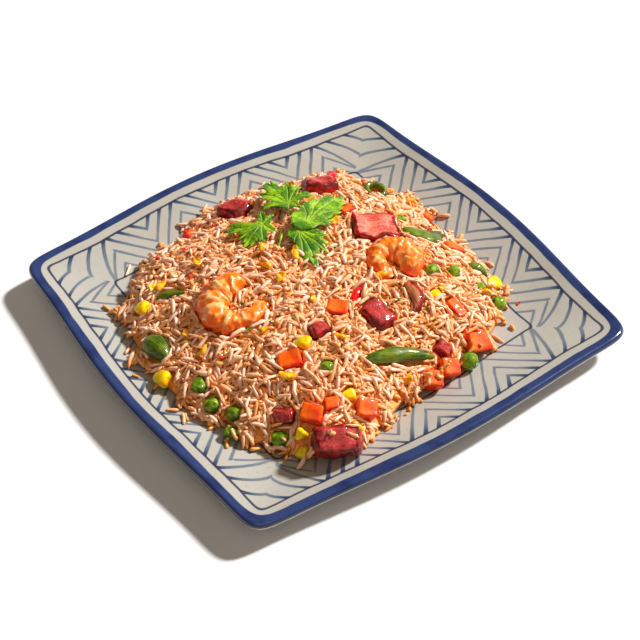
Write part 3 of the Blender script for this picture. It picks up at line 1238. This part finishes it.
def settle(x, y, heading, length, width, cock):
    """Lay one grain on the map of heights; returns its middle height and slope, and raises the map."""
    across, up = math.cos(heading), math.sin(heading)
    arm = np.linspace(-1, 1, 5) * (length - width) / 2
    under = surface[cell_of(x + across * arm, y + up * arm)]
    slope = float((under * arm).sum() / (arm**2).sum())
    slope = max(-STEEPEST, min(STEEPEST, slope)) * SLOPE_KEPT + cock
    middle = float(np.sort(under - slope * arm)[1:].mean()) + LIFT * width
    reach = length / 2 + 1
    (i0, i1), (j0, j1) = cell_of((x - reach, x + reach), (y - reach, y + reach))
    local_x, local_y = map_x[i0:i1, j0:j1] - x, map_y[i0:i1, j0:j1] - y
    forward, aside = local_x * across + local_y * up, local_y * across - local_x * up
    bulk = 1 - (2 * forward / length) ** 4 - (2 * aside / width) ** 2
    top = middle + slope * forward + HALF_THICK * width * np.sqrt(np.maximum(bulk, 0))
    patch = surface[i0:i1, j0:j1]
    patch[...] = np.where(bulk > 0, np.maximum(patch, top), patch)
    return middle, slope


# %% [markdown]
# ## Where the grains go
# Rice fills the low places first. So random places are tried in rounds, and a grain is laid only where the
# map is still below the height that the heap shall have, and never over a topping. Broken grains, browned
# ones and crumbs keep away from the thin outline, where they would lie like a row of beads. A few grains
# of each kind are spilled just outside it.

# %% Laying the grains
ROUNDS = 60


def random_places(count, farthest):
    """Random places spread evenly over the heap, out to a share of its area."""
    turn, share = random.uniform(0, 2 * np.pi, count), np.sqrt(random.uniform(0, farthest, count))
    return heap_place(turn, heap_reach(turn) * share)


def low_spots(count, room, least):
    """Random places, where the rice is at least so thick, that are still so far under their height."""
    x, y = random_places(count, 1.12)
    spot = cell_of(x, y)
    low = (surface[spot] < target[spot] - room) & (thickness_of_rice[spot] >= least)
    return zip(x[low], y[low])


def lay_grains(count, lengths, widths, cocked, room, least):
    """Lay grains in low spots: rows of x, y, z, heading, slope, length, width and the heap's height."""
    laid = []
    for _ in range(ROUNDS):
        for x, y in low_spots(count, room, least):
            spot = cell_of(x, y)
            if len(laid) == count or surface[spot] > target[spot] - room:
                continue
            length, width = random.uniform(*lengths), random.uniform(*widths)
            heading, cock = random.uniform(0, 2 * math.pi), random.normal(0, cocked)
            arm = np.linspace(-0.5, 0.5, 5) * length
            under = cell_of(x + arm * math.cos(heading), y + arm * math.sin(heading))
            if topped[under].any():
                continue
            z, slope = settle(x, y, heading, length, width, cock)
            laid.append((x, y, z, heading, slope, length, width, target[spot]))
    return np.array(laid)


def spill(count, lengths, widths):
    """The same rows for a few grains that fell just outside the heap, each lying on the plate."""
    turn, share = random.uniform(0, 2 * np.pi, count), 0.98 + 0.1 * random.uniform(0, 1, count) ** 3
    laid = []
    for x, y in zip(*heap_place(turn, heap_reach(turn) * share)):
        length, width = random.uniform(*lengths), random.uniform(*widths)
        heading = random.uniform(0, 2 * math.pi)
        z, slope = settle(x, y, heading, length, width, 0.0)
        laid.append((x, y, z + 0.25 * width, heading, slope, length, width, z - 0.3))
    return np.array(laid)


# %% [markdown]
# ## One mesh for each kind
# Each grain gets one of the shapes, stretched to its length and width, rolled about its length, tipped by
# its slope and turned to its heading. Numpy does this for all the grains of a kind in a few lines. Two
# numbers are stored at each point: a random tone for its grain, and how deep it lies under the heap's top,
# because oil gathers in the rice that lies deep.

# %% The mesh of a kind of grain
def turn_in_plane(points, first, second, angles):
    """Turn each grain's points in the plane of two axes by an angle of its own."""
    angles = angles[:, None]
    a, b = points[..., first].copy(), points[..., second].copy()
    points[..., first] = a * np.cos(angles) - b * np.sin(angles)
    points[..., second] = a * np.sin(angles) + b * np.cos(angles)


def grain_mesh(laid):
    """All the grains of one kind as arrays of points, quads and triangles, and their stored numbers."""
    x, y, z, heading, slope, length, width, heap = laid.T
    count, size = len(laid), shapes.shape[1]
    points = shapes[random.integers(0, len(shapes), count)] * np.stack([length, width, width], -1)[:, None]
    turn_in_plane(points, 1, 2, random.uniform(0, 2 * np.pi, count))
    turn_in_plane(points, 0, 2, np.arctan(slope))
    turn_in_plane(points, 0, 1, heading)
    points += np.stack([x, y, z], -1)[:, None]
    shift = (np.arange(count) * size)[:, None, None]
    quads, ends = (faces + shift for faces in skin(GRAIN_RINGS, GRAIN_SIDES))
    depth = heap[:, None] - points[..., 2]
    values = {"tone": np.repeat(random.uniform(0, 1, count), size), "depth": depth.ravel()}
    return points.reshape(-1, 3), quads.reshape(-1, 4), ends.reshape(-1, 3), values


# %% [markdown]
# ## The finish of the rice
# Fried rice isn't one colour. Each grain has a tone of its own, soy lies in patches, the tops are pale and
# the sides golden, and the deepest grains are bright orange with oil. One flat colour with noise would make
# the heap look like sand. Here every one of these causes is a mask, and each mask tints what is below it.

# %% The rice's finish
GOLD, SOY, SIDE_GOLD, DEEP_OIL = (248, 176, 52), (204, 122, 34), (250, 158, 44), (246, 122, 4)


def rice_finish(name, pale, deep, share):
    """Cooked rice: a tone for each grain, oil and soy in patches, and a soft shine."""
    made, pen, shader = start_moist(
        name, depth=1, share=0.15, radius=(1.0, 0.7, 0.4), coat=0.5, coat_roughness=0.07
    )
    place, tone, depth = places(pen), stored(pen, "tone"), stored(pen, "depth")
    stain, fine = cloudy(pen, place, 0.09, 3.0), cloudy(pen, place, 1.1, 2.0)
    body = paint(pen, *pale).tint(paint(pen, *deep), (tone * 0.7 + stain * 0.6).ease(0.45, 1.1) * share)
    gold = (depth * 0.8 + fine * 2.4 + stain * 3.4 + tone * 0.6 - 3.1).ease(-0.3, 1.3)
    body = body.tint(paint(pen, *GOLD), gold * 0.6)
    body = body.tint(paint(pen, *SOY), (stain + tone * 0.1).ease(0.56, 0.74) * 0.6)
    body = body.tint(paint(pen, *SIDE_GOLD), (0.8 - facing_up(pen)).ease(0.15, 0.9) * 0.65)
    body = body.tint(paint(pen, *DEEP_OIL), (depth + fine * 1.2 - 0.6).ease(1.1, 2.5))
    feed(pen, shader, Base_Color=body, Roughness=0.25 + fine * 0.25)
    feed(pen, shader, Normal=relief(pen, fine, 0.2))
    return made


# %% [markdown]
# ## All kinds of rice
# The kinds are laid from the lowest to the highest: broken grains at the bottom, then browned ones, then
# two kinds of whole grains, and crumbs on top in what gaps are left. The order matters, because each kind
# lies on those before it. A kind with more room below the heap's height ends up deeper.

# %% All kinds of rice
RICE = (
    # name, grains at most, lengths, widths, how far cocked, room below the heap's height,
    # least thickness of the rice, pale colour, deep colour, share of the deep one
    ("rice_broken", 1700, (2.6, 4.2), (1.9, 2.7), 0.3, 0.9, 6.0, (250, 190, 128), (246, 166, 78), 0.9),
    ("rice_browned", 1300, (4.4, 6.8), (1.8, 2.6), 0.25, 0.8, 4.0, (246, 178, 98), (232, 146, 44), 1.0),
    ("rice_pink", 3300, (5.0, 8.2), (1.8, 2.6), 0.25, 0.6, 0.0, (252, 190, 144), (244, 166, 86), 0.9),
    ("rice_pale", 3300, (6.0, 9.4), (1.9, 2.6), 0.25, 0.1, 0.0, (255, 212, 184), (244, 176, 112), 0.9),
    ("rice_crumbs", 1500, (1.6, 2.8), (1.3, 1.9), 0.4, -0.3, 4.0, (250, 186, 130), (244, 160, 70), 0.9),
)
SPILLED = 24
for name, count, lengths, widths, cocked, room, least, pale, deep, share in RICE:
    heaped = lay_grains(count, lengths, widths, cocked, room, least)
    points, quads, ends, values = grain_mesh(np.concatenate([heaped, spill(SPILLED, lengths, widths)]))
    finish = rice_finish(name.replace("_", " "), pale, deep, share)
    add_mesh(name, points, quads, ends, finish, values=values)
    print(name, len(heaped) + SPILLED, "grains,", len(quads) * 2 + len(ends), "triangles")

# %% [markdown]
# ## Egg, chilli and herb scraps
# Fried rice is full of small things: torn scraps of egg, flecks of chilli and carrot, and bits of green.
# Painted spots would follow the grains under them and look like stains. So each is a small wrinkled block,
# flattened and laid on the finished grains: some at chosen places, and the rest wherever the rice is bare.

# %% Scraps
def scrap_finish(name, light, deep):
    """A moist scrap in two tones."""
    made, pen, shader = start_finish(name, Specular_IOR_Level=0.2, Coat_Weight=0.35, Coat_Roughness=0.1)
    tone = cloudy(pen, places(pen), 0.5, 3.0)
    body = paint(pen, *light).tint(paint(pen, *deep), tone.ease(0.4, 0.62))
    feed(pen, shader, Base_Color=body, Roughness=0.4 + tone * 0.2, Normal=relief(pen, tone, 0.6))
    return made


def scatter(name, spots, length, finish):
    """Lay wrinkled scraps of about that length at the spots, as one piece."""
    all_points, all_quads, count = [], [], 0
    for x, y in spots:
        size = random.uniform(0.7, 1.3) * np.array([length, length * 0.55, length * 0.3])
        points, quads = block(size, 3.0, 5)
        points = wrinkle(points, length * 0.5, length * 0.22, random.integers(1, 99))
        turn = Euler((random.normal(0, 0.3), random.normal(0, 0.3), random.uniform(0, 6.28))).to_matrix()
        under = surface[cell_of((x - 1, x + 1, x), (y - 1, y, y + 1))]
        z = float(np.mean(under)) + size[2] * 0.25
        all_points.append(points @ np.array(turn).T + (x, y, z))
        all_quads.append(quads + count)
        count += len(points)
    piece = add_mesh(name, np.concatenate(all_points), np.concatenate(all_quads), NO_TRIANGLES, finish)
    print(name, len(spots))


def anywhere(count):
    """Random spots on bare rice."""
    x, y = random_places(count, 0.9)
    bare = ~topped[cell_of(x, y)]
    return list(zip(x[bare], y[bare]))


EGG_SPOTS = [
    (-9, -8), (-12, -24), (-24, -19), (2, -24), (23, -19), (-44, -72), (-38, -49), (-41, -22), (-2, -78),
    (50, -21), (80, -2), (94, -42), (47, 44), (-43, -69), (-7, -9),
]
RED_SPOTS = [(-80, -32), (-23, -68), (-70, -45), (-57, -46), (-67, -22), (-29, 37), (0, 72), (61, 84)]
GREEN_SPOTS = [(-48, -80), (28, -34), (84, -1), (89, -43), (-41, 50), (44, 19), (19, -54)]
egg = scrap_finish("fried egg", (255, 200, 24), (240, 138, 4))
red = scrap_finish("chilli and carrot", (240, 60, 8), (168, 16, 8))
green = scrap_finish("herb bits", (128, 160, 20), (64, 104, 10))
scatter("egg_scraps", EGG_SPOTS + anywhere(14), 6.4, egg)
scatter("red_flecks", RED_SPOTS + anywhere(16), 3.2, red)
scatter("green_flecks", GREEN_SPOTS + anywhere(10), 2.4, green)

# %% [markdown]
# ## The table
# The plate stands on a plain pale table that catches its shadow. It is a single square, wide enough to
# have no edge in view, and it belongs to the stage and not to the dish. A curved studio wall isn't needed,
# because the view looks down.

# %% The table it stands on
TABLE_HALF = 3000 * MM
corners = [(-TABLE_HALF, -TABLE_HALF, 0), (TABLE_HALF, -TABLE_HALF, 0),
           (TABLE_HALF, TABLE_HALF, 0), (-TABLE_HALF, TABLE_HALF, 0)]
table_finish, pen, shader = start_finish("pale table", Roughness=0.7)
clouds = cloudy(pen, places(pen), 0.03)
feed(pen, shader, Base_Color=paint(pen, 232, 232, 233).tint(paint(pen, 228, 228, 230), clouds))
table_mesh = bpy.data.meshes.new("table")
table_mesh.from_pydata(corners, [], [(0, 1, 2, 3)])
table_mesh.materials.append(table_finish)
table = bpy.data.objects.new("table", table_mesh)
bpy.context.scene.collection.objects.link(table)
print("table:", 2 * TABLE_HALF, "m wide")
